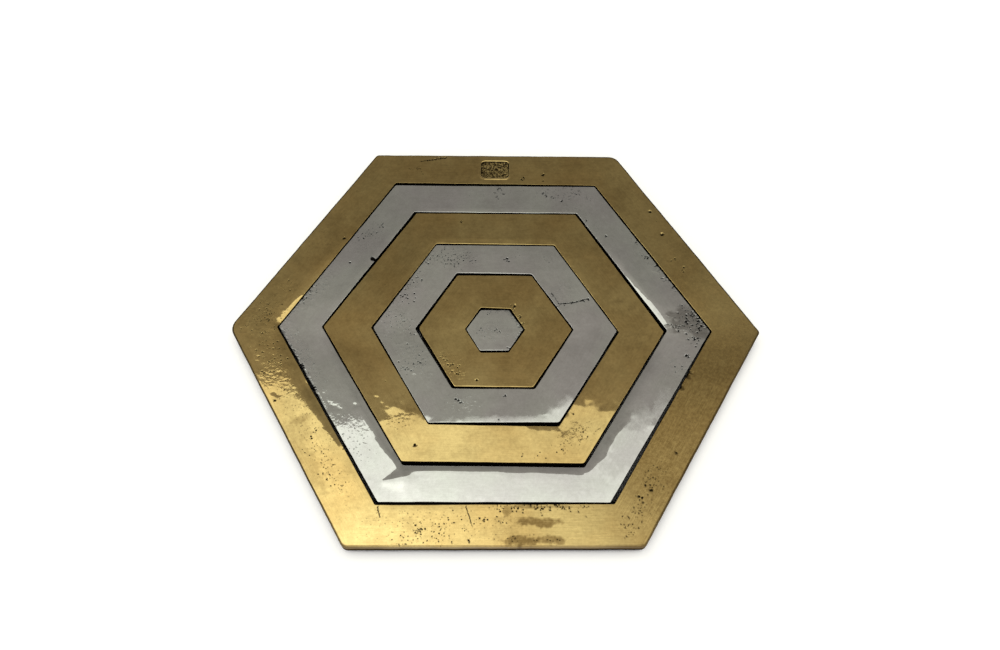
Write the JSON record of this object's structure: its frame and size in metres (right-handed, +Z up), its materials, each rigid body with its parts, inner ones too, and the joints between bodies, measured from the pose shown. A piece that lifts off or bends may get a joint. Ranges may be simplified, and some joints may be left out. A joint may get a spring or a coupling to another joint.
{
  "type": "table mat",
  "caption": "Hexagonal table mat of nested cast metal rings, brass and aluminium in turn around a small centre tile, each on cork feet and free to lift out, for standing hot pots on.",
  "frame": {"origin": "middle of the nested set, on the table top that its feet stand on", "axes": "+Z up off the table; +X towards a corner of the hexagon; +Y towards the flat side whose leg has the sunken panel"},
  "size_m": [0.23, 0.2, 0.007],
  "materials": {
    "brass": "sand cast, hand polished on the top face, with small casting pits",
    "aluminium": "sand cast, hand polished on the top face, with small casting pits",
    "cork": "pressed cork granules, cut and unsealed"
  },
  "bodies": {
    "outer_brass_ring": {"brass_outer_ring": "brass", "brass_outer_ring_foot_1": "cork", "brass_outer_ring_foot_2": "cork", "brass_outer_ring_foot_3": "cork", "brass_outer_ring_foot_4": "cork", "brass_outer_ring_foot_5": "cork", "brass_outer_ring_foot_6": "cork"},
    "outer_aluminium_ring": {"aluminium_outer_ring": "aluminium", "aluminium_outer_ring_foot_1": "cork", "aluminium_outer_ring_foot_2": "cork", "aluminium_outer_ring_foot_3": "cork", "aluminium_outer_ring_foot_4": "cork", "aluminium_outer_ring_foot_5": "cork", "aluminium_outer_ring_foot_6": "cork"},
    "middle_brass_ring": {"brass_middle_ring": "brass", "brass_middle_ring_foot_1": "cork", "brass_middle_ring_foot_2": "cork", "brass_middle_ring_foot_3": "cork", "brass_middle_ring_foot_4": "cork", "brass_middle_ring_foot_5": "cork", "brass_middle_ring_foot_6": "cork"},
    "inner_aluminium_ring": {"aluminium_inner_ring": "aluminium", "aluminium_inner_ring_foot_1": "cork", "aluminium_inner_ring_foot_2": "cork", "aluminium_inner_ring_foot_3": "cork", "aluminium_inner_ring_foot_4": "cork", "aluminium_inner_ring_foot_5": "cork", "aluminium_inner_ring_foot_6": "cork"},
    "inner_brass_ring": {"brass_inner_ring": "brass", "brass_inner_ring_foot_1": "cork", "brass_inner_ring_foot_2": "cork", "brass_inner_ring_foot_3": "cork", "brass_inner_ring_foot_4": "cork", "brass_inner_ring_foot_5": "cork", "brass_inner_ring_foot_6": "cork"},
    "centre_tile": {"aluminium_centre_tile": "aluminium", "aluminium_centre_tile_foot": "cork"}
  },
  "joints": [
    {"name": "outer_aluminium_ring_lift", "type": "slide", "parent": "outer_brass_ring", "child": "outer_aluminium_ring", "axis": [0, 0, 1], "range_m": [0, 0.02]},
    {"name": "middle_brass_ring_lift", "type": "slide", "parent": "outer_brass_ring", "child": "middle_brass_ring", "axis": [0, 0, 1], "range_m": [0, 0.04]},
    {"name": "inner_aluminium_ring_lift", "type": "slide", "parent": "outer_brass_ring", "child": "inner_aluminium_ring", "axis": [0, 0, 1], "range_m": [0, 0.06]},
    {"name": "inner_brass_ring_lift", "type": "slide", "parent": "outer_brass_ring", "child": "inner_brass_ring", "axis": [0, 0, 1], "range_m": [0, 0.08]},
    {"name": "centre_tile_lift", "type": "slide", "parent": "outer_brass_ring", "child": "centre_tile", "axis": [0, 0, 1], "range_m": [0, 0.1]}
  ]
}
